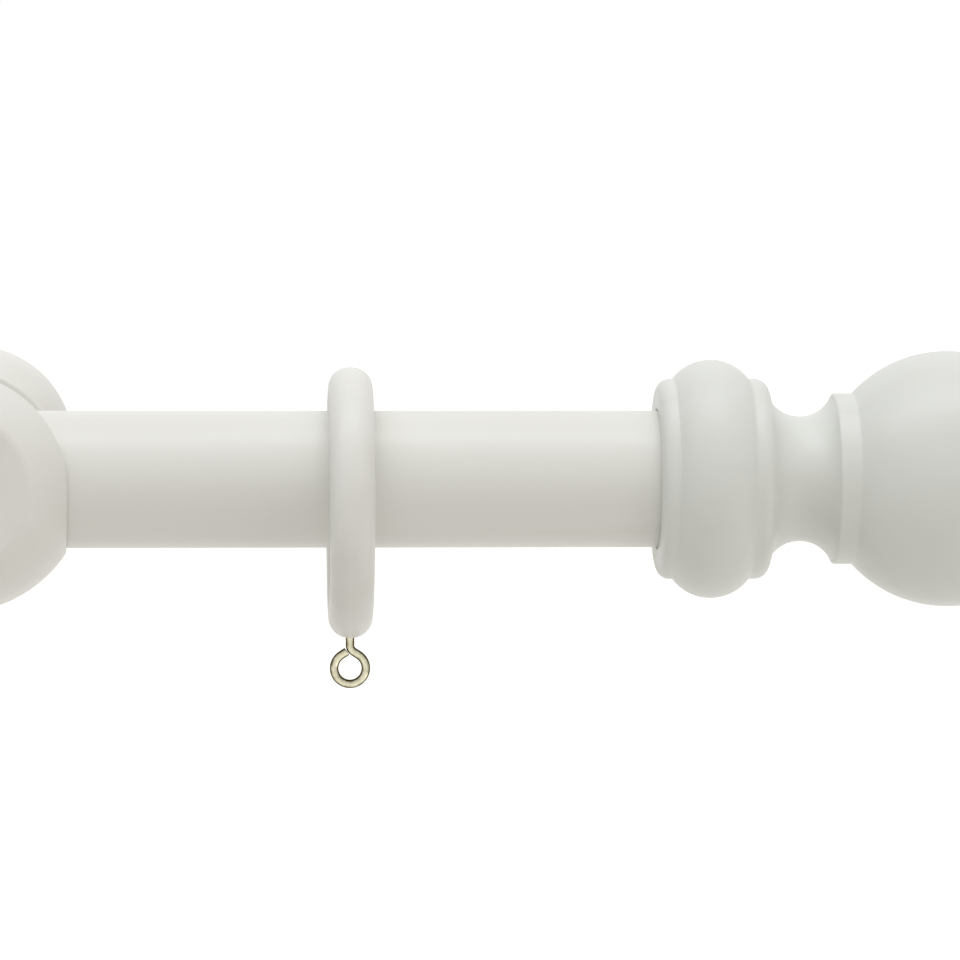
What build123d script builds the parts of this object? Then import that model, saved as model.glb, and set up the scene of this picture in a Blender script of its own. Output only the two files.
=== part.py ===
from build123d import *
import math
import os

# A wooden curtain pole on two cup brackets, with ball finials and twelve rings.
# X runs along the pole, Z is up and the wall is the plane Y = 0, so the pole lies at negative Y.
# The origin is on the wall, halfway between the two brackets, at the height of their axes.

# The pole and where things stand along it
pole_diameter = 28.0
pole_length = 1200.0
pole_end_chamfer = 1.0
bracket_from_finial = 142.9
outer_ring_from_finial = 62.6
inner_ring_count = 10

# Finial: collar, torus, fillet, cove, fillet and ball, from the pole outwards
collar_diameter = 41.0
collar_length = 3.3
collar_round = 2.6
recess_depth = 9.7
recess_clearance = 0.3
torus_diameter = 48.8
torus_length = 15.5
outer_fillet_length = 4.0
outer_fillet_round = 2.7
cove_length = 13.2
cove_edge_diameter = 33.8
cove_waist_diameter = 25.6
inner_fillet_diameter = 35.0
inner_fillet_length = 4.2
inner_fillet_round = 0.5
finial_ball_diameter = 52.4

# Dowel screw between the pole and each finial
dowel_screw_diameter = 5.0
dowel_screw_reach = 25.0
screw_point_length = 4.0
screw_point_diameter = 0.8
screw_clearance = 0.1
pilot_spare_depth = 1.0

# Bracket cup: a ball with a flat front, open at the top for the pole, on a waisted neck
projection = 70.0
cup_ball_diameter = 54.0
cup_ball_forward = 1.2
cup_flat_diameter = 32.4
cup_flat_round = 2.2
saddle_clearance = 0.3
saddle_seat_gap = 0.3
saddle_edge_round = 0.6
neck_fillet_diameter = 35.0
neck_fillet_length = 3.8
neck_edge_diameter = 31.0
neck_waist_diameter = 23.0
tenon_diameter = 16.0
tenon_length = 11.0
tenon_clearance = 0.1

# Bracket base: a half ball with a short straight rim against the wall
base_diameter = 43.4
base_rim = 2.0
bolt_passage_diameter = 8.0

# Fixing inside the bracket: an M6 insert, and a hanger bolt whose other end goes into the wall
insert_diameter = 9.5
insert_length = 12.0
insert_clearance = 0.05
machine_thread_diameter = 6.0
bolt_in_insert = 10.5
wall_thread_diameter = 7.0
wall_thread_length = 30.0
wall_point_length = 6.0

# Lock screw under each cup, into the pole's underside
lock_screw_diameter = 3.5
lock_screw_into_pole = 9.5
lock_head_diameter = 7.0
lock_head_height = 2.2
lock_head_clearance = 0.5
lock_head_sunk = 1.0

# Rings, which hang on the top of the pole
ring_outer_diameter = 55.3
ring_bore = 38.2
ring_width = 9.0
ring_corner_share = 0.49
ring_hang_gap = 0.3

# Screw eye: one wire, straight into the ring, bent aside and round until its end nearly meets it
wire_diameter = 1.75
eye_loop_diameter = 6.5
eye_loop_below_ring = 6.5
eye_bend_above_loop = 3.9
eye_bend_radius = 1.6
eye_end_gap = 0.4
eye_cover = 2.0

# Places worked out from the sizes above
pole_radius = pole_diameter / 2
pole_half = pole_length / 2
saddle_radius = pole_radius + saddle_clearance
pole_height = saddle_seat_gap - saddle_clearance
finial_rim_x = pole_half - recess_depth + recess_clearance
bracket_x = finial_rim_x - bracket_from_finial
outer_ring_x = finial_rim_x - outer_ring_from_finial
inner_ring_pitch = 2 * bracket_x / (inner_ring_count + 1)
ring_height = pole_height + pole_radius + ring_hang_gap - ring_bore / 2
ring_thickness = (ring_outer_diameter - ring_bore) / 2
eye_in_ring = ring_thickness - eye_cover
cup_ball_out = projection + cup_ball_forward
base_front = base_rim + math.sqrt((base_diameter / 2) ** 2 - (neck_fillet_diameter / 2) ** 2)
tenon_end = base_front - tenon_length
full_turn = 360
sides = {"left": -1, "right": 1}


def turned(outline, axis):
    """Solid of revolution of a closed outline about an axis."""
    return revolve(make_face(outline), axis, full_turn)


def rod(diameter, start, end):
    """Round rod from one point to another."""
    line = Vector(*end) - Vector(*start)
    return Plane(origin=start, z_dir=line) * Cylinder(
        diameter / 2, line.length, align=(Align.CENTER, Align.CENTER, Align.MIN)
    )


def screw_point(diameter, start, direction, length):
    """Blunt cone that ends a screw of the given diameter."""
    return Plane(origin=start, z_dir=direction) * Cone(
        diameter / 2, screw_point_diameter / 2, length, align=(Align.CENTER, Align.CENTER, Align.MIN)
    )


def make_pole():
    """Chamfered pole, drilled at both ends for the dowel screws and below for the lock screws."""
    pole = rod(pole_diameter, (-pole_half, 0, 0), (pole_half, 0, 0))
    pole = chamfer(pole.edges().filter_by(GeomType.CIRCLE), pole_end_chamfer)
    end_hole = dowel_screw_diameter + 2 * screw_clearance
    end_hole_depth = dowel_screw_reach + pilot_spare_depth
    lock_hole = lock_screw_diameter + 2 * screw_clearance
    lock_hole_depth = lock_screw_into_pole + pilot_spare_depth
    for side in sides.values():
        end = side * pole_half
        pole -= rod(end_hole, (end, 0, 0), (end - side * end_hole_depth, 0, 0))
        under = (side * bracket_x, 0, -pole_diameter)
        pole -= rod(lock_hole, under, (side * bracket_x, 0, lock_hole_depth - pole_radius))
    return Pos(0, -projection, pole_height) * pole


def finial_outline():
    """Half profile of the finial: X outwards from its rim, Y the radius."""
    collar_r = collar_diameter / 2
    round_off = collar_round * (1 - math.sqrt(0.5))
    torus_start = collar_length
    torus_end = torus_start + torus_length
    fillet_end = torus_end + outer_fillet_length
    fillet_off = outer_fillet_round * (1 - math.sqrt(0.5))
    cove_end = fillet_end + cove_length
    inner_r = inner_fillet_diameter / 2
    inner_off = inner_fillet_round * (1 - math.sqrt(0.5))
    ball_r = finial_ball_diameter / 2
    ball_start = cove_end + inner_fillet_length
    ball_x = ball_start + math.sqrt(ball_r**2 - inner_r**2)
    rim = (0, collar_r - collar_round)
    collar_top = (collar_round, collar_r)
    torus_left = (torus_start, collar_r)
    torus_right = (torus_end, collar_r)
    fillet_top = (fillet_end - outer_fillet_round, collar_r)
    fillet_side = (fillet_end, collar_r - outer_fillet_round)
    cove_left = (fillet_end, cove_edge_diameter / 2)
    cove_right = (cove_end, cove_edge_diameter / 2)
    inner_side = (cove_end, inner_r - inner_fillet_round)
    inner_top = (cove_end + inner_fillet_round, inner_r)
    ball_left = (ball_start, inner_r)
    tip = (ball_x + ball_r, 0)
    return [
        Line((0, 0), rim),
        ThreePointArc(rim, (round_off, collar_r - round_off), collar_top),
        Line(collar_top, torus_left),
        ThreePointArc(torus_left, ((torus_start + torus_end) / 2, torus_diameter / 2), torus_right),
        Line(torus_right, fillet_top),
        ThreePointArc(fillet_top, (fillet_end - fillet_off, collar_r - fillet_off), fillet_side),
        Line(fillet_side, cove_left),
        ThreePointArc(cove_left, ((fillet_end + cove_end) / 2, cove_waist_diameter / 2), cove_right),
        Line(cove_right, inner_side),
        ThreePointArc(inner_side, (cove_end + inner_off, inner_r - inner_off), inner_top),
        Line(inner_top, ball_left),
        ThreePointArc(ball_left, (ball_x, ball_r), tip),
        Line(tip, (0, 0)),
    ]


def make_finial(side):
    """Turned finial with a recess that hides the pole's end and a hole for its dowel screw."""
    finial = turned(finial_outline(), Axis.X)
    finial -= rod(pole_diameter + 2 * recess_clearance, (-recess_depth, 0, 0), (recess_depth, 0, 0))
    hole_end = recess_depth + dowel_screw_reach + pilot_spare_depth
    finial -= rod(dowel_screw_diameter + 2 * screw_clearance, (0, 0, 0), (hole_end, 0, 0))
    if side < 0:
        finial = finial.rotate(Axis.Z, full_turn / 2)
    return Pos(side * finial_rim_x, -projection, pole_height) * finial


def make_dowel_screw(side):
    """Double-ended wood screw, half in the finial and half in the pole's end."""
    seat = side * (finial_rim_x + recess_depth)
    straight = dowel_screw_reach - screw_point_length
    inner = (seat - side * straight, 0, 0)
    outer = (seat + side * straight, 0, 0)
    screw = rod(dowel_screw_diameter, inner, outer)
    screw += screw_point(dowel_screw_diameter, inner, (-side, 0, 0), screw_point_length)
    screw += screw_point(dowel_screw_diameter, outer, (side, 0, 0), screw_point_length)
    return Pos(0, -projection, pole_height) * screw


def cup_outline():
    """Half profile of the cup: X the radius, Y minus the distance from the wall."""
    ball_r = cup_ball_diameter / 2
    fillet_r = neck_fillet_diameter / 2
    flat_r = cup_flat_diameter / 2
    shoulder = base_front + neck_fillet_length
    ball_start = cup_ball_out - math.sqrt(ball_r**2 - fillet_r**2)
    fillet_start = ball_start - neck_fillet_length
    flat_out = cup_ball_out + math.sqrt(ball_r**2 - flat_r**2)
    neck_mid = (neck_waist_diameter / 2, -(shoulder + fillet_start) / 2)
    corners = [
        (0, -tenon_end),
        (tenon_diameter / 2, -tenon_end),
        (tenon_diameter / 2, -base_front),
        (fillet_r, -base_front),
        (fillet_r, -shoulder),
        (neck_edge_diameter / 2, -shoulder),
    ]
    neck_front = (neck_edge_diameter / 2, -fillet_start)
    ball_back = (fillet_r, -ball_start)
    flat_edge = (flat_r, -flat_out)
    return [
        Polyline(*corners),
        ThreePointArc(corners[-1], neck_mid, neck_front),
        Polyline(neck_front, (fillet_r, -fillet_start), ball_back),
        ThreePointArc(ball_back, (ball_r, -cup_ball_out), flat_edge),
        Polyline(flat_edge, (0, -flat_out), corners[0]),
    ]


def make_cup(side):
    """Turned cup with its saddle, the insert's seat in the tenon and the lock screw's hole below."""
    cup = turned(cup_outline(), Axis.Y)
    flat_edge = cup.edges().filter_by(GeomType.CIRCLE).sort_by(Axis.Y)[0]
    cup = fillet(flat_edge, cup_flat_round)
    reach = cup_ball_diameter
    saddle = rod(2 * saddle_radius, (-reach, -projection, 0), (reach, -projection, 0))
    mouth = Pos(0, -projection, 0) * Box(
        2 * reach, 2 * saddle_radius, reach, align=(Align.CENTER, Align.CENTER, Align.MIN)
    )
    cup -= saddle + mouth
    lips = [
        edge
        for edge in cup.edges()
        if abs(edge.center(CenterOf.BOUNDING_BOX).X) > saddle_radius
        or edge.center(CenterOf.BOUNDING_BOX).Z > saddle_radius / 2
    ]
    cup = fillet(lips, saddle_edge_round)
    cup -= rod(
        insert_diameter + 2 * insert_clearance,
        (0, -tenon_end, 0),
        (0, -tenon_end - insert_length, 0),
    )
    below = -cup_ball_diameter
    cup -= rod(
        lock_screw_diameter + 2 * screw_clearance, (0, -projection, below), (0, -projection, 0)
    )
    cup -= rod(
        lock_head_diameter + 2 * lock_head_clearance,
        (0, -projection, below),
        (0, -projection, lock_seat_height()),
    )
    return Pos(side * bracket_x, 0, 0) * cup


def lock_seat_height():
    """Height of the face that the lock screw's head pulls against, inside the foot of the ball."""
    ball_bottom = -math.sqrt((cup_ball_diameter / 2) ** 2 - cup_ball_forward**2)
    return ball_bottom + lock_head_sunk + lock_head_height


def make_lock_screw(side):
    """Pan-head screw, up through the foot of the cup into the pole."""
    seat = lock_seat_height()
    top = pole_height - pole_radius + lock_screw_into_pole
    axis_y = -projection
    screw = rod(lock_head_diameter, (0, axis_y, seat - lock_head_height), (0, axis_y, seat))
    screw += rod(lock_screw_diameter, (0, axis_y, seat), (0, axis_y, top - screw_point_length))
    screw += screw_point(
        lock_screw_diameter, (0, axis_y, top - screw_point_length), (0, 0, 1), screw_point_length
    )
    return Pos(side * bracket_x, 0, 0) * screw


def make_base(side):
    """Turned half ball with a mortise for the cup's tenon and a passage for the bolt."""
    radius = base_diameter / 2
    front_r = neck_fillet_diameter / 2
    dome_angle = math.asin(front_r / radius) / 2 + math.pi / 4
    dome_mid = (radius * math.sin(dome_angle), -base_rim - radius * math.cos(dome_angle))
    outline = [
        Polyline((0, 0), (radius, 0), (radius, -base_rim)),
        ThreePointArc((radius, -base_rim), dome_mid, (front_r, -base_front)),
        Polyline((front_r, -base_front), (0, -base_front), (0, 0)),
    ]
    base = turned(outline, Axis.Y)
    mortise_end = tenon_end - tenon_clearance
    base -= rod(tenon_diameter + 2 * tenon_clearance, (0, -base_front, 0), (0, -mortise_end, 0))
    base -= rod(bolt_passage_diameter, (0, -base_front, 0), (0, 0, 0))
    return Pos(side * bracket_x, 0, 0) * base


def make_insert(side):
    """Threaded insert, flush with the end of the tenon."""
    insert = rod(insert_diameter, (0, -tenon_end, 0), (0, -tenon_end - insert_length, 0))
    insert -= rod(
        machine_thread_diameter + 2 * screw_clearance,
        (0, -tenon_end, 0),
        (0, -tenon_end - insert_length, 0),
    )
    return Pos(side * bracket_x, 0, 0) * insert


def make_hanger_bolt(side):
    """Bolt with a machine thread in the insert and a pointed wood thread in the wall."""
    bolt = rod(machine_thread_diameter, (0, 0, 0), (0, -tenon_end - bolt_in_insert, 0))
    bolt += rod(wall_thread_diameter, (0, 0, 0), (0, wall_thread_length, 0))
    bolt += screw_point(wall_thread_diameter, (0, wall_thread_length, 0), (0, 1, 0), wall_point_length)
    return Pos(side * bracket_x, 0, 0) * bolt


def make_ring(x):
    """Turned ring with a rounded section and a pilot hole for its eye."""
    corner = ring_corner_share * min(ring_width, ring_thickness)
    section = Pos(0, (ring_bore + ring_thickness) / 2) * RectangleRounded(
        ring_width, ring_thickness, corner
    )
    ring = revolve(section, Axis.X, full_turn)
    bottom = -ring_outer_diameter / 2
    ring -= rod(
        wire_diameter + 2 * screw_clearance,
        (0, 0, bottom - wire_diameter),
        (0, 0, bottom + eye_in_ring + screw_clearance),
    )
    return Pos(x, -projection, ring_height) * ring


def make_eye(x):
    """Wire swept along a straight shank, aside, round a loop and back until it nearly meets itself."""
    loop_r = eye_loop_diameter / 2
    touch = math.asin(loop_r / eye_bend_above_loop)
    shank_top = (0, 0, eye_loop_below_ring + eye_in_ring)
    bend = (0, 0, eye_bend_above_loop)
    loop_start = (loop_r * math.cos(touch), 0, loop_r * math.sin(touch))
    loop_end = (-loop_start[0], 0, loop_start[2])
    end_x = -(wire_diameter / 2 + eye_end_gap) * math.sin(touch)
    wire_end = (end_x, 0, eye_bend_above_loop + end_x / math.tan(touch))
    path = FilletPolyline(shank_top, bend, loop_start, radius=eye_bend_radius)
    path += ThreePointArc(loop_start, (0, 0, -loop_r), loop_end)
    path += Line(loop_end, wire_end)
    section = Plane(origin=shank_top, z_dir=(0, 0, -1)) * Circle(wire_diameter / 2)
    eye = sweep(section, path=path)
    loop_height = ring_height - ring_outer_diameter / 2 - eye_loop_below_ring
    return Pos(x, -projection, loop_height) * eye


def ring_places():
    """X of every ring: one outside each bracket, the rest evenly spread between them."""
    first = -(inner_ring_count - 1) / 2
    inner = [(first + i) * inner_ring_pitch for i in range(inner_ring_count)]
    return [-outer_ring_x] + inner + [outer_ring_x]


nodes = {"pole": make_pole()}
for name, side in sides.items():
    nodes[f"{name}_finial"] = make_finial(side)
    nodes[f"{name}_finial_dowel_screw"] = make_dowel_screw(side)
    nodes[f"{name}_bracket_cup"] = make_cup(side)
    nodes[f"{name}_bracket_base"] = make_base(side)
    nodes[f"{name}_threaded_insert"] = make_insert(side)
    nodes[f"{name}_hanger_bolt"] = make_hanger_bolt(side)
    nodes[f"{name}_lock_screw"] = make_lock_screw(side)
for number, x in enumerate(ring_places(), start=1):
    nodes[f"ring_{number:02d}"] = make_ring(x)
    nodes[f"ring_eye_{number:02d}"] = make_eye(x)

os.makedirs("parts", exist_ok=True)
for name, shape in nodes.items():
    export_step(shape, f"parts/{name}.step")
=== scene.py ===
"""A white wooden curtain pole on two cup brackets, with ball finials and twelve rings.

X runs along the pole, Z is up and the wall is the plane Y = 0, in metres, as in the CAD frame.
"""

import math

import bpy
import numpy as np
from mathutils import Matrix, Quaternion, Vector


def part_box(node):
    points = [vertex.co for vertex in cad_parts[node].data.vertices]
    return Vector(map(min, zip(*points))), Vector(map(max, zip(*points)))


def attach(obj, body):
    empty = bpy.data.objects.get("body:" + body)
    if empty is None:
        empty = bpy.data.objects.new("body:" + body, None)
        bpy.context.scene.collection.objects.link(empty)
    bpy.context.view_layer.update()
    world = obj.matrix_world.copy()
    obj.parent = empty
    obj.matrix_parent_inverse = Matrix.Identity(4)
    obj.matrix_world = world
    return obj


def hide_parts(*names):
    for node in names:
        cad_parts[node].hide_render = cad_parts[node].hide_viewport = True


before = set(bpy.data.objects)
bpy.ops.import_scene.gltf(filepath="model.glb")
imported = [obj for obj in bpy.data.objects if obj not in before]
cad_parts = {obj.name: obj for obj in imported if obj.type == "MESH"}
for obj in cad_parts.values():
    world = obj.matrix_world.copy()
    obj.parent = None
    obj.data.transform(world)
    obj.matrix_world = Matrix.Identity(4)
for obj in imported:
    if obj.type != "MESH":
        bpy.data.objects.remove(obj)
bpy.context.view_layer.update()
mm = 0.001

# Hanger bolts: zinc-plated steel, one to a bracket. A coarse rolled wood thread goes into the wall's
# plug, and a machine thread goes through the base into the cup's insert, so the bolt carries it all.
bolt_machine_radius = 3.0 * mm
bolt_machine_root = 2.45 * mm
bolt_machine_pitch = 1.0 * mm
bolt_wood_radius = 3.5 * mm
bolt_wood_root = 2.5 * mm
bolt_wood_pitch = 2.9 * mm
bolt_shank = 2.5 * mm
bolt_point = 6.0 * mm
bolt_tip_radius = 0.35 * mm
bolt_tip_flat = 0.175 * mm
bolt_steps_round = 40
bolt_machine_rows = 8
bolt_wood_rows = 12
bolt_machine_ridge = 0.5
bolt_wood_ridge = 0.22
bolt_lead_in = 0.8
bolt_collar_step = 0.001 * mm
point_curve = 0.8
zinc_colour = (0.66, 0.67, 0.68, 1.0)
zinc_tarnish_colour = (0.50, 0.49, 0.45, 1.0)
zinc_mottle_scale = 420.0
zinc_mottle_detail = 5.0
zinc_gloss = (0.26, 0.48)
zinc_relief = 0.12
zinc_relief_depth = 0.2 * mm


def outward(points, faces):
    """Faces as given, or all turned round where the volume that they enclose comes out negative.

    The volume is the sum over the faces' triangles of a corner times the cross product of the others.
    """
    quads = np.array([f if len(f) == 4 else [*f, f[-1]] for f in faces])
    a, b, c, d = (points[quads[:, i]] for i in range(4))
    volume = np.sum(a * np.cross(b, c)) + np.sum(a * np.cross(c, d))
    return faces if volume > 0 else [f[::-1] for f in faces]


def smooth_piece(name, points, faces):
    """Mesh object at the origin with these points, its faces outward and smoothly shaded."""
    mesh = bpy.data.meshes.new(name)
    mesh.from_pydata(points.tolist(), [], outward(points, faces))
    mesh.validate()
    mesh.shade_smooth()
    piece = bpy.data.objects.new(name, mesh)
    bpy.context.scene.collection.objects.link(piece)
    return piece


def rolled_up(rings, loop=False):
    """Points and faces of a grid of points whose rows are closed rings.

    Neighbouring rings are joined by quads. The first and last ring are either joined as well, which
    makes a torus, or each closed by a fan to the mean of its points.
    """
    rows, steps = rings.shape[:2]
    index = np.arange(rows * steps).reshape(rows, steps)
    turned_index = np.roll(index, -1, axis=1)
    low, high = (index, np.roll(index, -1, axis=0)) if loop else (index[:-1], index[1:])
    low_next, high_next = np.roll(low, -1, axis=1), np.roll(high, -1, axis=1)
    faces = np.stack([low, low_next, high_next, high], axis=-1).reshape(-1, 4).tolist()
    points = rings.reshape(-1, 3)
    if loop:
        return points, faces
    poles = np.array([rings[0].mean(axis=0), rings[-1].mean(axis=0)])
    first = np.full(steps, rows * steps)
    faces += np.stack([first, turned_index[0], index[0]], axis=-1).tolist()
    faces += np.stack([first + 1, index[-1], turned_index[-1]], axis=-1).tolist()
    return np.concatenate([points, poles]), faces


def turned_rings(along, radius, origin, axis, steps):
    """Rings of a surface of revolution about a line through origin.

    A ring's point is the origin, plus its distance along the axis, plus its radius times the cosine
    and sine of the turn on two directions square to the axis. The radius may differ round the ring.
    """
    axis = np.array(axis, float)
    side = np.roll(axis, 1)
    up = np.cross(axis, side)
    turn = np.linspace(0, 2 * math.pi, steps, endpoint=False)
    spoke = np.cos(turn)[:, None] * side + np.sin(turn)[:, None] * up
    radius = np.broadcast_to(np.reshape(radius, (len(along), -1)), (len(along), steps))
    return np.array(origin) + np.reshape(along, (-1, 1, 1)) * axis + radius[..., None] * spoke


def thread_ridge(along, steps, pitch, width):
    """Height from 0 to 1 of a screw thread's ridge over its root, for each place along and each turn.

    The ridge climbs one pitch in a full turn, and its height falls in a straight line to nothing at
    width, a share of the pitch, on both sides of its crest.
    """
    turn = np.arange(steps) / steps
    phase = (np.reshape(along, (-1, 1)) / pitch - turn) % 1.0
    return np.clip(1 - np.abs(phase - 0.5) / width, 0, 1)


def zinc_plate(name):
    """Bright zinc on steel: a metal whose colour and gloss are mottled by a fine noise."""
    material = bpy.data.materials.new(name)
    material.use_nodes = True
    nodes, links = material.node_tree.nodes, material.node_tree.links
    shader = nodes["Principled BSDF"]
    shader.inputs["Metallic"].default_value = 1.0
    place = nodes.new("ShaderNodeTexCoord")
    mottle = nodes.new("ShaderNodeTexNoise")
    mottle.inputs["Scale"].default_value = zinc_mottle_scale
    mottle.inputs["Detail"].default_value = zinc_mottle_detail
    links.new(place.outputs["Object"], mottle.inputs["Vector"])
    colour = nodes.new("ShaderNodeMix")
    colour.data_type = "RGBA"
    colour.inputs["A"].default_value = zinc_colour
    colour.inputs["B"].default_value = zinc_tarnish_colour
    links.new(mottle.outputs["Fac"], colour.inputs["Factor"])
    links.new(colour.outputs["Result"], shader.inputs["Base Color"])
    gloss = nodes.new("ShaderNodeMapRange")
    gloss.inputs["To Min"].default_value = zinc_gloss[0]
    gloss.inputs["To Max"].default_value = zinc_gloss[1]
    links.new(mottle.outputs["Fac"], gloss.inputs["Value"])
    links.new(gloss.outputs["Result"], shader.inputs["Roughness"])
    relief = nodes.new("ShaderNodeBump")
    relief.inputs["Strength"].default_value = zinc_relief
    relief.inputs["Distance"].default_value = zinc_relief_depth
    links.new(mottle.outputs["Fac"], relief.inputs["Height"])
    links.new(relief.outputs["Normal"], shader.inputs["Normal"])
    return material


def hanger_bolt_rings(low, high):
    """Rings of a bolt along Y, from its machine thread's end through the wall plane to its point."""
    machine = np.arange(low.y, 0, bolt_machine_pitch / bolt_machine_rows)
    wood = np.arange(0, high.y, bolt_wood_pitch / bolt_wood_rows)
    machine_ridge = thread_ridge(machine, bolt_steps_round, bolt_machine_pitch, bolt_machine_ridge)
    machine_radius = bolt_machine_root + (bolt_machine_radius - bolt_machine_root) * machine_ridge
    start = np.clip((machine - low.y) / bolt_machine_pitch, 0, 1)[:, None]
    machine_radius *= bolt_lead_in + (1 - bolt_lead_in) * start
    taper = np.clip((high.y - wood) / bolt_point, 0, 1)[:, None] ** point_curve
    grown = np.clip((wood - bolt_shank) / bolt_wood_pitch, 0, 1)[:, None]
    wood_ridge = thread_ridge(wood, bolt_steps_round, bolt_wood_pitch, bolt_wood_ridge) * grown
    shank = np.where(grown > 0, bolt_wood_root, bolt_wood_radius)
    wood_radius = shank + (bolt_wood_radius - bolt_wood_root) * wood_ridge
    wood_radius = bolt_tip_radius + (wood_radius - bolt_tip_radius) * taper
    along = np.concatenate([machine, [0], wood + bolt_collar_step, [high.y]])
    flush = np.full((1, bolt_steps_round), bolt_machine_root)
    tip = np.full((1, bolt_steps_round), bolt_tip_flat)
    radius = np.concatenate([machine_radius, flush, wood_radius, tip])
    middle = (low.x + high.x) / 2, 0, (low.z + high.z) / 2
    return turned_rings(along, radius, middle, (0, 1, 0), bolt_steps_round)


zinc = zinc_plate("zinc_plate")
for side in ("left", "right"):
    bolt_node = f"{side}_hanger_bolt"
    bolt = smooth_piece(f"{side}_bolt", *rolled_up(hanger_bolt_rings(*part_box(bolt_node))))
    bolt.data.materials.append(zinc)
    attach(bolt, "brackets")
    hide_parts(bolt_node)
    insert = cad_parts[f"{side}_threaded_insert"]
    insert.data.materials.clear()
    insert.data.materials.append(zinc)

# Bracket bases: half balls of turned hardwood in satin white paint, flat against the wall. Each has a
# mortise that takes the cup's tenon, and the hanger bolt passes through its middle.
base_radius = 21.7 * mm
base_rim = 2.0 * mm
base_front_radius = 17.5 * mm
base_back_edge = 0.5 * mm
mortise_radius = 8.1 * mm
mortise_depth = 11.1 * mm
bolt_passage_radius = 4.0 * mm
turned_steps = 144
paint_softness = 0.22 * mm
profile_spacing = 0.05 * mm
profile_turn = math.radians(5)
profile_run = 1.5 * mm
bracket_white = (0.82, 0.815, 0.785, 1.0)
bracket_shade = (0.795, 0.785, 0.75, 1.0)
turned_grain = 0.35
turned_relief = 0.10
paint_gloss = 0.36
paint_ior = 1.46
paint_grain_scale = 90.0
paint_film_scale = 700.0
paint_relief_depth = 0.3 * mm
paint_grain_detail = 4.0
paint_grain_break = 0.55
paint_film_detail = 2.0
paint_streak_from, paint_streak_full = 0.42, 0.78
paint_streak_dulling = 0.12
paint_film_share = 0.5


def arc(centre, radius, start, end, steps=90):
    """Points on a circle's arc, from one angle to the other, in degrees."""
    angle = np.radians(np.linspace(start, end, steps))
    return np.stack([centre[0] + radius * np.cos(angle), centre[1] + radius * np.sin(angle)], axis=1)


def arc_through(start, middle_height, end, steps=60):
    """Points on the arc from start to end, two points of equal height, whose middle has that height.

    Half the chord squared over the rise, plus the rise, halved, is the arc's radius.
    """
    half = (end[0] - start[0]) / 2
    rise = middle_height - start[1]
    radius = (half**2 / abs(rise) + abs(rise)) / 2
    lean = math.degrees(math.asin(half / radius))
    centre = (start[0] + half, middle_height - math.copysign(radius, rise))
    turn = math.copysign(90, rise)
    return arc(centre, radius, turn + math.copysign(lean, rise), turn - math.copysign(lean, rise), steps)


def softened(profile, spread, loop=False):
    """Profile with its corners rounded as a coat of paint rounds them, and few points on flat runs.

    The profile is laid out at an even spacing, each point becomes the mean of its neighbours weighted
    by a bell curve of that spread, and rows are then kept at even steps of turn plus length.
    """
    profile = np.array(profile, float)
    if loop:
        profile = np.concatenate([profile, profile[:1]])
    length = np.concatenate([[0], np.cumsum(np.linalg.norm(np.diff(profile, axis=0), axis=1))])
    even = np.arange(0, length[-1], profile_spacing)
    even = even if loop else np.append(even, length[-1])
    laid = np.stack([np.interp(even, length, profile[:, i]) for i in (0, 1)], axis=1)
    reach = int(math.ceil(3 * spread / profile_spacing))
    bell = np.exp(-0.5 * (np.arange(-reach, reach + 1) * profile_spacing / spread) ** 2)
    if loop:
        padded = np.concatenate([laid[-reach:], laid, laid[:reach]])
    else:
        before, after = 2 * laid[0] - laid[reach:0:-1], 2 * laid[-1] - laid[-2 : -reach - 2 : -1]
        padded = np.concatenate([before, laid, after])
    smooth = np.stack(
        [np.convolve(padded[:, i], bell / bell.sum(), mode="valid") for i in (0, 1)], axis=1
    )
    step = np.diff(smooth, axis=0)
    heading = np.unwrap(np.arctan2(step[:, 1], step[:, 0]))
    turn = np.abs(np.diff(heading, prepend=heading[0]))
    gained = turn / profile_turn + np.linalg.norm(step, axis=1) / profile_run
    worth = np.concatenate([[0], np.cumsum(gained)])
    kept = np.linspace(0, worth[-1], int(worth[-1]) + 2)
    kept = kept[:-1] if loop else kept
    return np.stack([np.interp(kept, worth, smooth[:, i]) for i in (0, 1)], axis=1)


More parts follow.
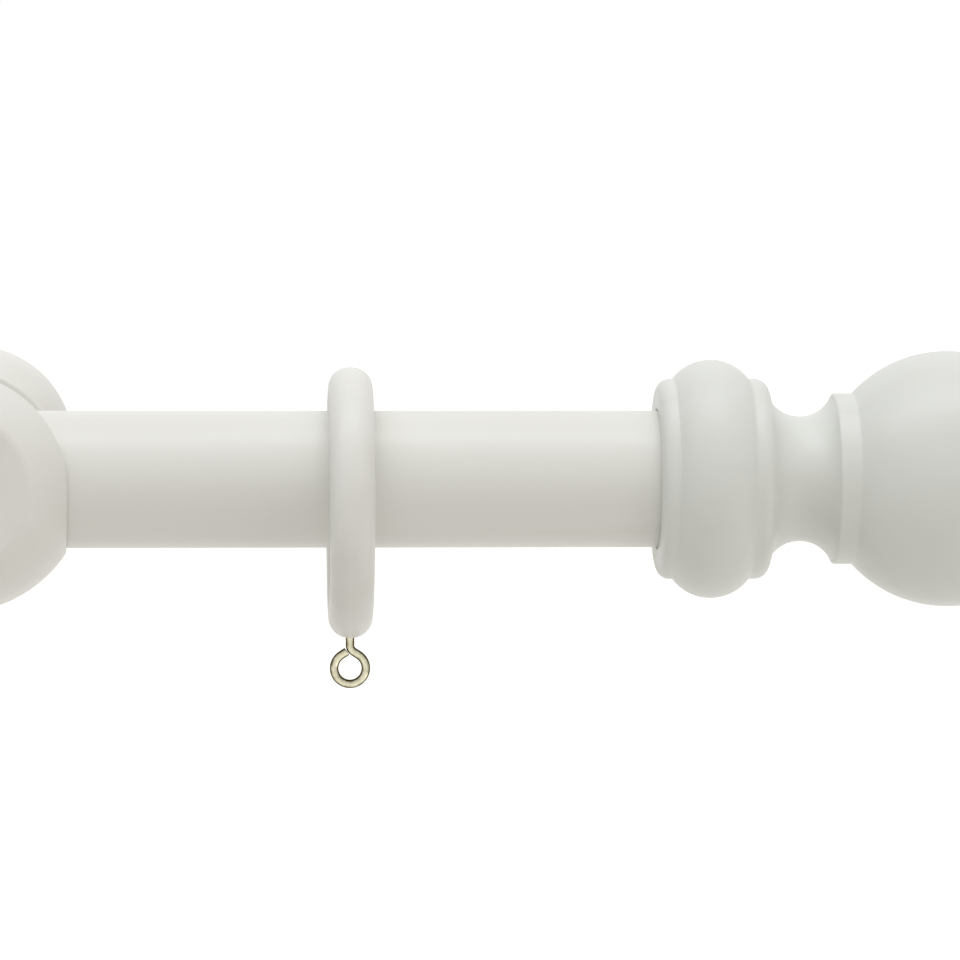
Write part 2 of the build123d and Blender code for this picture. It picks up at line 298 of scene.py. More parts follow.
def paint_film_group():
    """Node group of a brushed and sanded paint film over wood.

    A soft noise drawn out along the grain shades the colour a little and dulls the gloss in its
    streaks. The same noise and a finer one together give the film's relief.
    """
    group = bpy.data.node_groups.new("paint_film", "ShaderNodeTree")
    face = group.interface
    face.new_socket("Vector", in_out="INPUT", socket_type="NodeSocketVector")
    for label in ("Grain Scale", "Film Scale", "Gloss"):
        face.new_socket(label, in_out="INPUT", socket_type="NodeSocketFloat")
    for label in ("Colour", "Shade"):
        face.new_socket(label, in_out="INPUT", socket_type="NodeSocketColor")
    face.new_socket("Colour", in_out="OUTPUT", socket_type="NodeSocketColor")
    face.new_socket("Roughness", in_out="OUTPUT", socket_type="NodeSocketFloat")
    face.new_socket("Height", in_out="OUTPUT", socket_type="NodeSocketFloat")
    nodes, links = group.nodes, group.links
    given = nodes.new("NodeGroupInput")
    result = nodes.new("NodeGroupOutput")
    grain = nodes.new("ShaderNodeTexNoise")
    grain.inputs["Detail"].default_value = paint_grain_detail
    grain.inputs["Roughness"].default_value = paint_grain_break
    links.new(given.outputs["Vector"], grain.inputs["Vector"])
    links.new(given.outputs["Grain Scale"], grain.inputs["Scale"])
    film = nodes.new("ShaderNodeTexNoise")
    film.inputs["Detail"].default_value = paint_film_detail
    links.new(given.outputs["Vector"], film.inputs["Vector"])
    links.new(given.outputs["Film Scale"], film.inputs["Scale"])
    streak = nodes.new("ShaderNodeMapRange")
    streak.interpolation_type = "SMOOTHSTEP"
    streak.inputs["From Min"].default_value = paint_streak_from
    streak.inputs["From Max"].default_value = paint_streak_full
    links.new(grain.outputs["Fac"], streak.inputs["Value"])
    colour = nodes.new("ShaderNodeMix")
    colour.data_type = "RGBA"
    links.new(streak.outputs["Result"], colour.inputs["Factor"])
    links.new(given.outputs["Colour"], colour.inputs["A"])
    links.new(given.outputs["Shade"], colour.inputs["B"])
    links.new(colour.outputs["Result"], result.inputs["Colour"])
    dull = nodes.new("ShaderNodeMath")
    dull.operation = "MULTIPLY_ADD"
    dull.inputs[1].default_value = paint_streak_dulling
    links.new(streak.outputs["Result"], dull.inputs[0])
    links.new(given.outputs["Gloss"], dull.inputs[2])
    links.new(dull.outputs["Value"], result.inputs["Roughness"])
    height = nodes.new("ShaderNodeMath")
    height.operation = "MULTIPLY_ADD"
    height.inputs[1].default_value = paint_film_share
    links.new(film.outputs["Fac"], height.inputs[0])
    links.new(grain.outputs["Fac"], height.inputs[2])
    links.new(height.outputs["Value"], result.inputs["Height"])
    return group


paint_film = paint_film_group()


def painted_wood(name, colour, shade, grain_stretch, relief_strength):
    """Satin white paint on turned wood, its grain drawn out along the axis with the smallest stretch."""
    material = bpy.data.materials.new(name)
    material.use_nodes = True
    nodes, links = material.node_tree.nodes, material.node_tree.links
    shader = nodes["Principled BSDF"]
    shader.inputs["IOR"].default_value = paint_ior
    place = nodes.new("ShaderNodeTexCoord")
    stretch = nodes.new("ShaderNodeMapping")
    stretch.inputs["Scale"].default_value = grain_stretch
    links.new(place.outputs["Object"], stretch.inputs["Vector"])
    film = nodes.new("ShaderNodeGroup")
    film.node_tree = paint_film
    film.inputs["Grain Scale"].default_value = paint_grain_scale
    film.inputs["Film Scale"].default_value = paint_film_scale
    film.inputs["Gloss"].default_value = paint_gloss
    film.inputs["Colour"].default_value = colour
    film.inputs["Shade"].default_value = shade
    links.new(stretch.outputs["Vector"], film.inputs["Vector"])
    links.new(film.outputs["Colour"], shader.inputs["Base Color"])
    links.new(film.outputs["Roughness"], shader.inputs["Roughness"])
    relief = nodes.new("ShaderNodeBump")
    relief.inputs["Strength"].default_value = relief_strength
    relief.inputs["Distance"].default_value = paint_relief_depth
    links.new(film.outputs["Height"], relief.inputs["Height"])
    links.new(relief.outputs["Normal"], shader.inputs["Normal"])
    return material


bracket_paint = painted_wood(
    "bracket_paint", bracket_white, bracket_shade, (1.0, turned_grain, 1.0), turned_relief
)
base_front = base_rim + math.sqrt(base_radius**2 - base_front_radius**2)
dome_end = math.degrees(math.acos(base_front_radius / base_radius))
dome = arc((base_rim, 0), base_radius, 90, dome_end)
mortise_floor = base_front - mortise_depth
base_profile = softened(
    np.concatenate(
        [
            [(0, bolt_passage_radius), (0, base_radius - base_back_edge)],
            [(base_back_edge, base_radius)],
            dome,
            [(base_front, mortise_radius), (mortise_floor, mortise_radius)],
            [(mortise_floor, bolt_passage_radius)],
        ]
    ),
    paint_softness,
    loop=True,
)
for side in ("left", "right"):
    base_node = f"{side}_bracket_base"
    low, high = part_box(base_node)
    rings = turned_rings(
        base_profile[:, 0], base_profile[:, 1], ((low.x + high.x) / 2, 0, 0), (0, -1, 0), turned_steps
    )
    base = smooth_piece(f"{side}_base", *rolled_up(rings, loop=True))
    base.data.materials.append(bracket_paint)
    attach(base, "brackets")
    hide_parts(base_node)

# Bracket cups: turned in one piece of hardwood, a ball on a waisted neck, then bored across and opened
# at the top for the pole, and faced flat in front. The tenon at the back sits in the base's mortise.
for side in ("left", "right"):
    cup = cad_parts[f"{side}_bracket_cup"]
    cup.data.materials.clear()
    cup.data.materials.append(bracket_paint)

# Pole: a straight dowel of softwood, sanded, sprayed satin white and then sawn to length and drilled in
# its ends and below. It lies in the two cups and lifts out once the lock screws are undone.
pole_white = (0.80, 0.80, 0.77, 1.0)
pole_shade = (0.775, 0.77, 0.735, 1.0)
pole_grain = 0.06
pole_relief = 0.08
pole_paint = painted_wood("pole_paint", pole_white, pole_shade, (pole_grain, 1.0, 1.0), pole_relief)
end_wood_pale = (0.73, 0.58, 0.38, 1.0)
end_wood_dark = (0.56, 0.39, 0.23, 1.0)
end_wood_roughness = 0.72
growth_ring_scale = 150.0
growth_ring_wander = 2.5
growth_ring_wander_scale = 0.3
pith_off_axis = (0.0, 4.0 * mm, -6.5 * mm)
bare_radius = 13.3 * mm
painted_radius = 13.6 * mm


def bare_where_cut(material, axis):
    """Bare softwood on the pole's sawn ends and in its holes, which lie well inside its full radius.

    The distance from the pole's axis, a point that it goes through along X, gives the mask. The growth
    rings are waves round a line beside that axis, bent by a noise.
    """
    nodes, links = material.node_tree.nodes, material.node_tree.links
    shader = nodes["Principled BSDF"]
    place = nodes.new("ShaderNodeTexCoord")
    across = nodes.new("ShaderNodeMapping")
    across.inputs["Location"].default_value = (0.0, -axis[1], -axis[2])
    across.inputs["Scale"].default_value = (0.0, 1.0, 1.0)
    links.new(place.outputs["Object"], across.inputs["Vector"])
    radius = nodes.new("ShaderNodeVectorMath")
    radius.operation = "LENGTH"
    links.new(across.outputs["Vector"], radius.inputs[0])
    bare = nodes.new("ShaderNodeMapRange")
    bare.interpolation_type = "SMOOTHSTEP"
    bare.inputs["From Min"].default_value = bare_radius
    bare.inputs["From Max"].default_value = painted_radius
    bare.inputs["To Min"].default_value = 1.0
    bare.inputs["To Max"].default_value = 0.0
    links.new(radius.outputs["Value"], bare.inputs["Value"])
    from_pith = nodes.new("ShaderNodeMapping")
    from_pith.inputs["Location"].default_value = [-a - p for a, p in zip(axis, pith_off_axis)]
    links.new(place.outputs["Object"], from_pith.inputs["Vector"])
    growth = nodes.new("ShaderNodeTexWave")
    growth.wave_type = "RINGS"
    growth.rings_direction = "X"
    growth.inputs["Scale"].default_value = growth_ring_scale
    growth.inputs["Distortion"].default_value = growth_ring_wander
    growth.inputs["Detail Scale"].default_value = growth_ring_wander_scale
    links.new(from_pith.outputs["Vector"], growth.inputs["Vector"])
    wood = nodes.new("ShaderNodeMix")
    wood.data_type = "RGBA"
    wood.inputs["A"].default_value = end_wood_pale
    wood.inputs["B"].default_value = end_wood_dark
    links.new(growth.outputs["Fac"], wood.inputs["Factor"])
    colour = nodes.new("ShaderNodeMix")
    colour.data_type = "RGBA"
    links.new(bare.outputs["Result"], colour.inputs["Factor"])
    links.new(shader.inputs["Base Color"].links[0].from_socket, colour.inputs["A"])
    links.new(wood.outputs["Result"], colour.inputs["B"])
    links.new(colour.outputs["Result"], shader.inputs["Base Color"])
    rough = nodes.new("ShaderNodeMix")
    rough.inputs["B"].default_value = end_wood_roughness
    links.new(bare.outputs["Result"], rough.inputs["Factor"])
    links.new(shader.inputs["Roughness"].links[0].from_socket, rough.inputs["A"])
    links.new(rough.outputs["Result"], shader.inputs["Roughness"])


pole_low, pole_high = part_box("pole")
bare_where_cut(pole_paint, (pole_low + pole_high) / 2)
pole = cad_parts["pole"]
pole.data.materials.clear()
pole.data.materials.append(pole_paint)

# Lock screws: small zinc-plated pan heads with a cross recess, up through the foot of each cup and into
# the pole's underside, so that the pole can't be lifted or turned.
lock_head_radius = 3.5 * mm
lock_head_height = 2.2 * mm
lock_head_round = 1.0 * mm
lock_radius = 1.75 * mm
lock_root = 1.2 * mm
lock_pitch = 1.3 * mm
lock_point = 4.0 * mm
lock_tip = 0.02
lock_ridge = 0.25
lock_rows = 10
lock_face_rows = 22
lock_face_middle = 0.05
lock_round_rows = 8
lock_steps = 64
recess_half_width = 0.45 * mm
recess_arm = 2.0 * mm
recess_depth = 1.3 * mm
recess_wall = 0.3 * mm
recess_end_slope = 0.6 * mm


def lock_screw_rings(low, high):
    """Rings of a screw along Z: the head's face with its recess, the head's side and the thread."""
    face_share = np.linspace(lock_face_middle, 1, lock_face_rows)
    face_radius = face_share * (lock_head_radius - lock_head_round)
    turn = np.linspace(0, 2 * math.pi, lock_steps, endpoint=False)
    across, up = face_radius[:, None] * np.cos(turn), face_radius[:, None] * np.sin(turn)
    arm = np.maximum(np.abs(across), np.abs(up))
    narrow = np.minimum(np.abs(across), np.abs(up))
    inside = np.clip((recess_half_width - narrow) / recess_wall + 0.5, 0, 1)
    inside *= np.clip((recess_arm - arm) / recess_end_slope, 0, 1)
    face_height = recess_depth * inside
    round_off = np.radians(np.linspace(0, 90, lock_round_rows))[1:]
    side_radius = lock_head_radius - lock_head_round * (1 - np.sin(round_off))
    side_height = lock_head_round * (1 - np.cos(round_off))
    thread = np.arange(lock_head_height, high.z - low.z, lock_pitch / lock_rows)
    taper = np.clip((high.z - low.z - thread) / lock_point, lock_tip, 1)[:, None] ** point_curve
    ridge = thread_ridge(thread, lock_steps, lock_pitch, lock_ridge)
    thread_radius = (lock_root + (lock_radius - lock_root) * ridge) * taper
    under = [(lock_head_height, lock_head_radius), (lock_head_height, lock_radius)]
    flat = np.ones(lock_steps)
    height = np.concatenate(
        [
            face_height,
            side_height[:, None] * flat,
            np.array([h for h, _ in under])[:, None] * flat,
            thread[:, None] * flat,
        ]
    )
    radius = np.concatenate(
        [
            face_radius[:, None] * flat,
            side_radius[:, None] * flat,
            np.array([r for _, r in under])[:, None] * flat,
            thread_radius,
        ]
    )
    middle = (low.x + high.x) / 2, (low.y + high.y) / 2, low.z
    rings = turned_rings(np.zeros(len(radius)), radius, middle, (0, 0, 1), lock_steps)
    rings[..., 2] += height
    return rings


for side in ("left", "right"):
    lock_node = f"{side}_lock_screw"
    lock = smooth_piece(f"{side}_lock", *rolled_up(lock_screw_rings(*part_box(lock_node))))
    lock.data.materials.append(zinc)
    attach(lock, lock_node)
    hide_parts(lock_node)

# Rings: turned hardwood with a rounded section in the same satin paint, a loose fit on the pole. They
# hang from its top and slide along it.
ring_outer_radius = 27.65 * mm
ring_bore_radius = 19.1 * mm
ring_width = 9.0 * mm
ring_corner_share = 0.49
ring_thickness = ring_outer_radius - ring_bore_radius
ring_radius = (ring_outer_radius + ring_bore_radius) / 2
ring_corner = ring_corner_share * ring_thickness
ring_steps = 160
ring_corner_steps = 30
ring_paint = painted_wood("ring_paint", pole_white, pole_shade, (1.0, 1.0, 1.0), pole_relief)
ring_numbers = range(1, 13)


def rounded_section(width, thickness, corner):
    """Closed outline of a rectangle with round corners about the origin, corner by corner."""
    x, y = width / 2 - corner, thickness / 2 - corner
    corners = [((x, y), 0), ((-x, y), 90), ((-x, -y), 180), ((x, -y), 270)]
    return np.concatenate(
        [arc(c, corner, start, start + 90, ring_corner_steps) for c, start in corners]
    )


ring_section = rounded_section(ring_width, ring_thickness, ring_corner)
ring_profile = softened(ring_section, paint_softness, loop=True)
for number in ring_numbers:
    ring_node = f"ring_{number:02d}"
    low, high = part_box(ring_node)
    middle = tuple((low + high) / 2)
    rings = turned_rings(
        ring_profile[:, 0], ring_radius + ring_profile[:, 1], middle, (1, 0, 0), ring_steps
    )
    ring = smooth_piece(f"{ring_node}_turned", *rolled_up(rings, loop=True))
    ring.data.materials.append(ring_paint)
    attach(ring, ring_node)
    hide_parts(ring_node)

# Screw eyes: brass-plated wire, screwed up into the foot of each ring, bent aside below it and round
# into a loop that takes a curtain hook.
wire_radius = 0.875 * mm
eye_loop_radius = 3.25 * mm
eye_loop_below_ring = 6.5 * mm
eye_cover = 2.0 * mm
eye_bend_above = 3.9 * mm
eye_bend_radius = 1.6 * mm
eye_end_from_bend = 0.86 * mm
eye_shank_top = eye_loop_below_ring + ring_thickness - eye_cover
wire_cut_edge = 0.08 * mm
wire_steps = 20
eye_shank_steps = 14
eye_bend_steps = 10
eye_loop_steps = 72
eye_arm_steps = 7
# Brass colour on the wire's front and back, and a near-black painted shade along its two sides in place
# of the dark reflections there, with a noise that breaks the shade's edge.
brass_bright = (0.68, 0.65, 0.49, 1.0)
brass_painted_side_shade = (0.10, 0.08, 0.03, 1.0)
brass_edge = (0.16, 0.12, 0.05, 1.0)
brass_shade_noise_scale = 900.0
brass_shade_noise_detail = 3.0
brass_shade_noise_share = 0.5
brass_lit_from, brass_lit_full = 0.78, 1.30
brass_shaded_side_gloss, brass_lit_face_gloss = 0.38, 0.16


def eye_path():
    """Points of the wire's centreline in its own plane, from its end in the ring round the loop.

    The runs that leave the shank and come back to it are tangent to the loop. A small arc joins the
    shank and its run, and the wire ends just short of the shank.
    """
    touch = math.asin(eye_loop_radius / eye_bend_above)
    loop_start = eye_loop_radius * np.array([math.cos(touch), math.sin(touch)])
    bend = np.array([0, eye_bend_above])
    run = (loop_start - bend) / np.linalg.norm(loop_start - bend)
    turn = math.acos(-run[1])
    reach = eye_bend_radius * math.tan(turn / 2)
    bend_centre = bend + np.array([eye_bend_radius, reach])
    bend_end = 180 + math.degrees(turn)
    bend_arc = arc(bend_centre, eye_bend_radius, 180, bend_end, eye_bend_steps)
    loop_from = math.degrees(touch)
    loop = arc((0, 0), eye_loop_radius, loop_from, -180 - loop_from, eye_loop_steps)
    end = bend - eye_end_from_bend * run * (1, -1)
    arm = np.linspace(loop[-1], end, eye_arm_steps + 1)[1:]
    shank_height = np.linspace(eye_shank_top, bend[1] + reach, eye_shank_steps + 1)[:-1]
    shank = np.stack([np.zeros(eye_shank_steps), shank_height], axis=1)
    return np.concatenate([shank, bend_arc, loop, arm])


def swept_wire(path, radius, steps):
    """Rings of a round wire along a path in the XZ plane, with the edge of its cut end broken.

    A ring's point is the path's point, plus the radius times the cosine of the turn along the path's
    normal and its sine along Y.
    """
    along = np.gradient(path, axis=0)
    along /= np.linalg.norm(along, axis=1)[:, None]
    size = np.append(np.full(len(path), radius), radius - wire_cut_edge)
    path = np.concatenate([path, path[-1:] + wire_cut_edge * along[-1]])
    along = np.concatenate([along, along[-1:]])
    turn = np.linspace(0, 2 * math.pi, steps, endpoint=False)
    across = size[:, None] * np.cos(turn)
    return np.stack(
        [
            path[:, :1] - along[:, 1:] * across,
            size[:, None] * np.sin(turn),
            path[:, 1:] + along[:, :1] * across,
        ],
        axis=-1,
    )


def brass_wire_material(name, eye_plane):
    """Brass on drawn wire, bright in front and behind, with painted shade along its two sides.

    The near-black sides are painted shade that stands in for the dark reflections at the edges of a
    round wire. The distance from the eye's own plane, over the wire's radius, gives the mask, and a fine
    noise breaks its edge.
    """
    material = bpy.data.materials.new(name)
    material.use_nodes = True
    nodes, links = material.node_tree.nodes, material.node_tree.links
    shader = nodes["Principled BSDF"]
    shader.inputs["Metallic"].default_value = 1.0
    shader.inputs["Specular Tint"].default_value = brass_edge
    place = nodes.new("ShaderNodeTexCoord")
    shade_noise = nodes.new("ShaderNodeTexNoise")
    shade_noise.inputs["Scale"].default_value = brass_shade_noise_scale
    shade_noise.inputs["Detail"].default_value = brass_shade_noise_detail
    links.new(place.outputs["Object"], shade_noise.inputs["Vector"])
    split = nodes.new("ShaderNodeSeparateXYZ")
    links.new(place.outputs["Object"], split.inputs["Vector"])
    apart = nodes.new("ShaderNodeMath")
    apart.operation = "SUBTRACT"
    apart.inputs[1].default_value = eye_plane
    links.new(split.outputs["Y"], apart.inputs[0])
    depth = nodes.new("ShaderNodeMath")
    depth.operation = "ABSOLUTE"
    links.new(apart.outputs["Value"], depth.inputs[0])
    broken = nodes.new("ShaderNodeMath")
    broken.operation = "MULTIPLY_ADD"
    broken.inputs[1].default_value = brass_shade_noise_share * wire_radius
    links.new(shade_noise.outputs["Fac"], broken.inputs[0])
    links.new(depth.outputs["Value"], broken.inputs[2])
    lit_share = nodes.new("ShaderNodeMapRange")
    lit_share.interpolation_type = "SMOOTHSTEP"
    lit_share.inputs["From Min"].default_value = brass_lit_from * wire_radius
    lit_share.inputs["From Max"].default_value = brass_lit_full * wire_radius
    links.new(broken.outputs["Value"], lit_share.inputs["Value"])
    # Painted shade: the near-black colour on the wire's sides stands in for dark reflections at its
    # edges.
    colour = nodes.new("ShaderNodeMix")
    colour.data_type = "RGBA"
    colour.inputs["A"].default_value = brass_painted_side_shade
    colour.inputs["B"].default_value = brass_bright
    links.new(lit_share.outputs["Result"], colour.inputs["Factor"])
    links.new(colour.outputs["Result"], shader.inputs["Base Color"])
    gloss = nodes.new("ShaderNodeMapRange")
    gloss.inputs["To Min"].default_value = brass_shaded_side_gloss
    gloss.inputs["To Max"].default_value = brass_lit_face_gloss
    links.new(lit_share.outputs["Result"], gloss.inputs["Value"])
    links.new(gloss.outputs["Result"], shader.inputs["Roughness"])
    return material


eye_low, eye_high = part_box("ring_eye_01")
brass_wire = brass_wire_material("brass_wire", (eye_low.y + eye_high.y) / 2)
for number in ring_numbers:
    eye_node = f"ring_eye_{number:02d}"
    low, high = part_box(eye_node)
    rings = swept_wire(eye_path(), wire_radius, wire_steps)
    loop_height = low.z + wire_radius + eye_loop_radius
    rings = rings + np.array([(low.x + high.x) / 2, (low.y + high.y) / 2, loop_height])
    eye = smooth_piece(f"{eye_node}_wire", *rolled_up(rings))
    eye.data.materials.append(brass_wire)
    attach(eye, f"ring_{number:02d}")
    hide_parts(eye_node)

# Finials: turned hardwood in satin white, a recessed collar and torus, a cove between two fillets, and
# a ball. Each screws onto the pole's end with a dowel screw and hides the end grain in its recess.
collar_radius = 20.5 * mm
collar_length = 3.3 * mm
collar_round = 2.6 * mm
finial_recess = 9.7 * mm
finial_recess_radius = 14.3 * mm
torus_radius = 24.4 * mm
torus_length = 15.5 * mm
outer_fillet_length = 4.0 * mm
outer_fillet_round = 2.7 * mm
cove_length = 13.2 * mm
cove_edge = 16.9 * mm
cove_waist = 12.8 * mm
inner_fillet_radius = 17.5 * mm
inner_fillet_length = 4.2 * mm
inner_fillet_round = 0.5 * mm
finial_ball_radius = 26.2 * mm
dowel_hole_radius = 2.6 * mm
dowel_hole_end = 35.7 * mm
finial_steps = 192
inner_round_steps = 12
finial_white = (0.745, 0.76, 0.735, 1.0)
finial_shade = (0.72, 0.73, 0.70, 1.0)
finial_paint = painted_wood(
    "finial_paint", finial_white, finial_shade, (turned_grain, 1.0, 1.0), turned_relief
)


def finial_profile():
    """Closed half profile of the finial, from the bottom of its screw hole through the ball's tip."""
    torus_end = collar_length + torus_length
    fillet_end = torus_end + outer_fillet_length
    cove_end = fillet_end + cove_length
    ball_start = cove_end + inner_fillet_length
    ball_middle = ball_start + math.sqrt(finial_ball_radius**2 - inner_fillet_radius**2)
    ball_lean = 180 - math.degrees(math.asin(inner_fillet_radius / finial_ball_radius))
    outer_round = (fillet_end - outer_fillet_round, collar_radius - outer_fillet_round)
    inner_round = (cove_end + inner_fillet_round, inner_fillet_radius - inner_fillet_round)
    return np.concatenate(
        [
            [(dowel_hole_end, 0), (dowel_hole_end, dowel_hole_radius)],
            [(finial_recess, dowel_hole_radius), (finial_recess, finial_recess_radius)],
            [(0, finial_recess_radius)],
            arc((collar_round, collar_radius - collar_round), collar_round, 180, 90),
            arc_through((collar_length, collar_radius), torus_radius, (torus_end, collar_radius)),
            arc(outer_round, outer_fillet_round, 90, 0),
            arc_through((fillet_end, cove_edge), cove_waist, (cove_end, cove_edge)),
            arc(inner_round, inner_fillet_round, 180, 90, inner_round_steps),
            arc((ball_middle, 0), finial_ball_radius, ball_lean, 0),
        ]
    )


finial_rows = softened(finial_profile(), paint_softness)
for side, outwards in (("left", -1), ("right", 1)):
    finial_node = f"{side}_finial"
    low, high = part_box(finial_node)
    rim = (high.x if outwards < 0 else low.x, (low.y + high.y) / 2, (low.z + high.z) / 2)
    rings = turned_rings(
        finial_rows[1:-1, 0], finial_rows[1:-1, 1], rim, (outwards, 0, 0), finial_steps
    )
    finial = smooth_piece(f"{side}_finial_turned", *rolled_up(rings))
    finial.data.materials.append(finial_paint)
    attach(finial, finial_node)
    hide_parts(finial_node)

# Dowel screws: zinc-plated double-ended wood screws, half of each in a finial and half in the pole.
# They show only when a finial is off.
dowel_radius = 2.5 * mm
dowel_root = 1.75 * mm
dowel_pitch = 2.2 * mm
dowel_point = 4.0 * mm
dowel_plain = 3.0 * mm
dowel_plain_height = 0.35
dowel_tip = 0.05
dowel_ridge = 0.24
dowel_rows = 12
dowel_steps = 40


def dowel_screw_rings(low, high):
    """Rings of a screw along X with a point at both ends and a plain middle."""
    row = dowel_pitch / dowel_rows
    along = np.arange(low.x, high.x + row / 2, row)
    to_end = np.minimum(along - low.x, high.x - along)[:, None]
    from_middle = np.abs(along - (low.x + high.x) / 2)[:, None]
    taper = np.clip(to_end / dowel_point, dowel_tip, 1) ** point_curve
    ridge = thread_ridge(along, dowel_steps, dowel_pitch, dowel_ridge)
    ridge = np.where(from_middle < dowel_plain, dowel_plain_height, ridge)
    radius = (dowel_root + (dowel_radius - dowel_root) * ridge) * taper
    middle = 0, (low.y + high.y) / 2, (low.z + high.z) / 2
    return turned_rings(along, radius, middle, (1, 0, 0), dowel_steps)


for side in ("left", "right"):
    dowel_node = f"{side}_finial_dowel_screw"
    dowel = smooth_piece(f"{side}_dowel_screw", *rolled_up(dowel_screw_rings(*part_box(dowel_node))))
    dowel.data.materials.append(zinc)
    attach(dowel, f"{side}_finial")
    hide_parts(dowel_node)

# Studio: a wide pale floor well below the pole and a pale room, dimmer beyond the pole's ends. Both
# are plain white to the camera and to reflections. The floor keeps the soft shadow that falls on it, and
# is clear from below, so that the underside of the pole can be looked at.
floor_height = -0.9
floor_half = 14.0
floor_colour = (0.67, 0.656, 0.63, 1.0)
floor_lift = 0.66
room_colour = (1.0, 0.983, 0.945, 1.0)
room_strength = 0.96
room_end_strength = 0.38
room_bright_side = 0.13
room_fall_from, room_fall_full = 0.15, 0.95
backdrop_white = (1.0, 1.0, 1.0, 1.0)


def seen_rays(tree):
    """Socket that is 1 for rays from the camera, in reflections and through glass, and else 0."""
    path = tree.nodes.new("ShaderNodeLightPath")
    total = path.outputs["Is Camera Ray"]
    for label in ("Is Glossy Ray", "Is Transmission Ray"):
        more = tree.nodes.new("ShaderNodeMath")
        more.operation = "MAXIMUM"
        tree.links.new(total, more.inputs[0])
        tree.links.new(path.outputs[label], more.inputs[1])
        total = more.outputs["Value"]
    return total


floor_mesh = bpy.data.meshes.new("floor")
floor_mesh.from_pydata(
    [(x * floor_half, y * floor_half, floor_height) for x, y in ((-1, -1), (1, -1), (1, 1), (-1, 1))],
    [],
    [(0, 1, 2, 3)],
)
floor = bpy.data.objects.new("floor", floor_mesh)
bpy.context.scene.collection.objects.link(floor)
floor_material = bpy.data.materials.new("floor_white")
floor_material.use_nodes = True
floor_tree = floor_material.node_tree
floor_tree.nodes.clear()
matt = floor_tree.nodes.new("ShaderNodeBsdfDiffuse")
matt.inputs["Color"].default_value = floor_colour
lift = floor_tree.nodes.new("ShaderNodeEmission")
lift_amount = floor_tree.nodes.new("ShaderNodeMath")
lift_amount.operation = "MULTIPLY"
lift_amount.inputs[1].default_value = floor_lift
floor_tree.links.new(seen_rays(floor_tree), lift_amount.inputs[0])
floor_tree.links.new(lift_amount.outputs["Value"], lift.inputs["Strength"])
both = floor_tree.nodes.new("ShaderNodeAddShader")
floor_tree.links.new(matt.outputs["BSDF"], both.inputs[0])
floor_tree.links.new(lift.outputs["Emission"], both.inputs[1])
facing = floor_tree.nodes.new("ShaderNodeNewGeometry")
clear = floor_tree.nodes.new("ShaderNodeBsdfTransparent")
one_sided = floor_tree.nodes.new("ShaderNodeMixShader")
floor_tree.links.new(facing.outputs["Backfacing"], one_sided.inputs["Fac"])
floor_tree.links.new(both.outputs["Shader"], one_sided.inputs[1])
floor_tree.links.new(clear.outputs["BSDF"], one_sided.inputs[2])
floor_out = floor_tree.nodes.new("ShaderNodeOutputMaterial")
floor_tree.links.new(one_sided.outputs["Shader"], floor_out.inputs["Surface"])
floor_mesh.materials.append(floor_material)

room = bpy.data.worlds.new("room")
bpy.context.scene.world = room
room.use_nodes = True
room_tree = room.node_tree
room_tree.nodes.clear()
glow = room_tree.nodes.new("ShaderNodeBackground")
glow.inputs["Color"].default_value = room_colour
room_way = room_tree.nodes.new("ShaderNodeTexCoord")
room_split = room_tree.nodes.new("ShaderNodeSeparateXYZ")
room_tree.links.new(room_way.outputs["Generated"], room_split.inputs["Vector"])
room_shift = room_tree.nodes.new("ShaderNodeMath")
room_shift.operation = "SUBTRACT"
room_shift.inputs[1].default_value = room_bright_side
room_tree.links.new(room_split.outputs["X"], room_shift.inputs[0])
room_ends = room_tree.nodes.new("ShaderNodeMath")
room_ends.operation = "ABSOLUTE"
room_tree.links.new(room_shift.outputs["Value"], room_ends.inputs[0])
room_fall = room_tree.nodes.new("ShaderNodeMapRange")
room_fall.interpolation_type = "SMOOTHSTEP"
room_fall.inputs["From Min"].default_value = room_fall_from
room_fall.inputs["From Max"].default_value = room_fall_full
room_fall.inputs["To Min"].default_value = room_strength
room_fall.inputs["To Max"].default_value = room_end_strength
room_tree.links.new(room_ends.outputs["Value"], room_fall.inputs["Value"])
room_tree.links.new(room_fall.outputs["Result"], glow.inputs["Strength"])
backdrop = room_tree.nodes.new("ShaderNodeBackground")
backdrop.inputs["Color"].default_value = backdrop_white
backdrop.inputs["Strength"].default_value = 1.0
choice = room_tree.nodes.new("ShaderNodeMixShader")
room_tree.links.new(seen_rays(room_tree), choice.inputs["Fac"])
room_tree.links.new(glow.outputs["Background"], choice.inputs[1])
room_tree.links.new(backdrop.outputs["Background"], choice.inputs[2])
room_out = room_tree.nodes.new("ShaderNodeOutputWorld")
room_tree.links.new(choice.outputs["Shader"], room_out.inputs["Surface"])

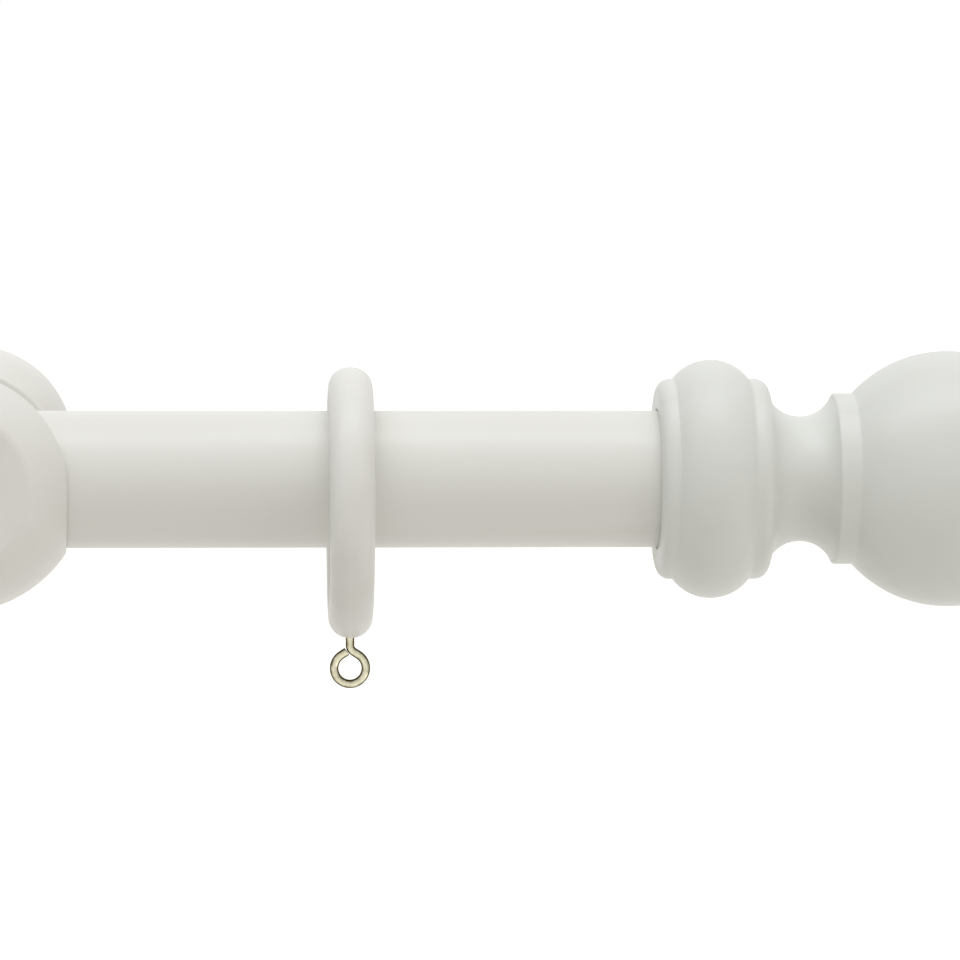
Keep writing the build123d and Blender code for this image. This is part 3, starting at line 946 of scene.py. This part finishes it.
# Lamps: a long softbox overhead, a little in front of the pole, and a weak fill panel low down past its
# right-hand end, which lifts the shade under what faces that way.
softbox_place = (-0.4, -0.45, 2.0)
softbox_size = (3.4, 1.0)
softbox_power = 19.7
softbox_colour = (0.95, 0.975, 1.0)
softbox_aim = (-0.4, -0.07, 0.0)
fill_place = (1.7, -0.55, -0.8)
fill_size = (1.2, 0.8)
fill_power = 2.7
fill_colour = (1.0, 0.99, 0.965)
fill_aim = (0.4, -0.07, 0.0)


def panel_lamp(name, place, aim, size, power, colour):
    """Rectangular area lamp at a place, turned to face an aim point."""
    data = bpy.data.lights.new(name, "AREA")
    data.shape = "RECTANGLE"
    data.size, data.size_y = size
    data.energy = power
    data.color = colour
    lamp = bpy.data.objects.new(name, data)
    lamp.location = place
    lamp.rotation_mode = "QUATERNION"
    lamp.rotation_quaternion = (Vector(aim) - Vector(place)).to_track_quat("-Z", "Y")
    bpy.context.scene.collection.objects.link(lamp)


panel_lamp("softbox", softbox_place, softbox_aim, softbox_size, softbox_power, softbox_colour)
panel_lamp("fill_panel", fill_place, fill_aim, fill_size, fill_power, fill_colour)

# Camera: a long lens near the right-hand end, a little above the pole, turned to take in the finial,
# one ring and the edge of a bracket.
pole_axis_y = -70.0 * mm
pole_axis_z = 0.0 * mm
camera_x = 504.9 * mm
camera_distance = 1000.0 * mm
camera_elevation = math.radians(6.2)
camera_roll = math.radians(0.255)
camera_lens = 183.8
camera_sensor = 36.0
camera_sees_from, camera_sees_to = 0.05, 60.0
aim_x = 554.5 * mm
aim_z = -0.2 * mm
camera_data = bpy.data.cameras.new("camera")
camera_data.lens = camera_lens
camera_data.sensor_width = camera_sensor
camera_data.clip_start = camera_sees_from
camera_data.clip_end = camera_sees_to
camera = bpy.data.objects.new("camera", camera_data)
camera.location = (
    camera_x,
    pole_axis_y - camera_distance * math.cos(camera_elevation),
    pole_axis_z + camera_distance * math.sin(camera_elevation),
)
look = Vector((aim_x, pole_axis_y, aim_z)) - camera.location
camera.rotation_mode = "QUATERNION"
camera.rotation_quaternion = look.to_track_quat("-Z", "Y") @ Quaternion((0, 0, 1), camera_roll)
bpy.context.scene.collection.objects.link(camera)
bpy.context.scene.camera = camera
bpy.context.scene.view_settings.view_transform = "Standard"
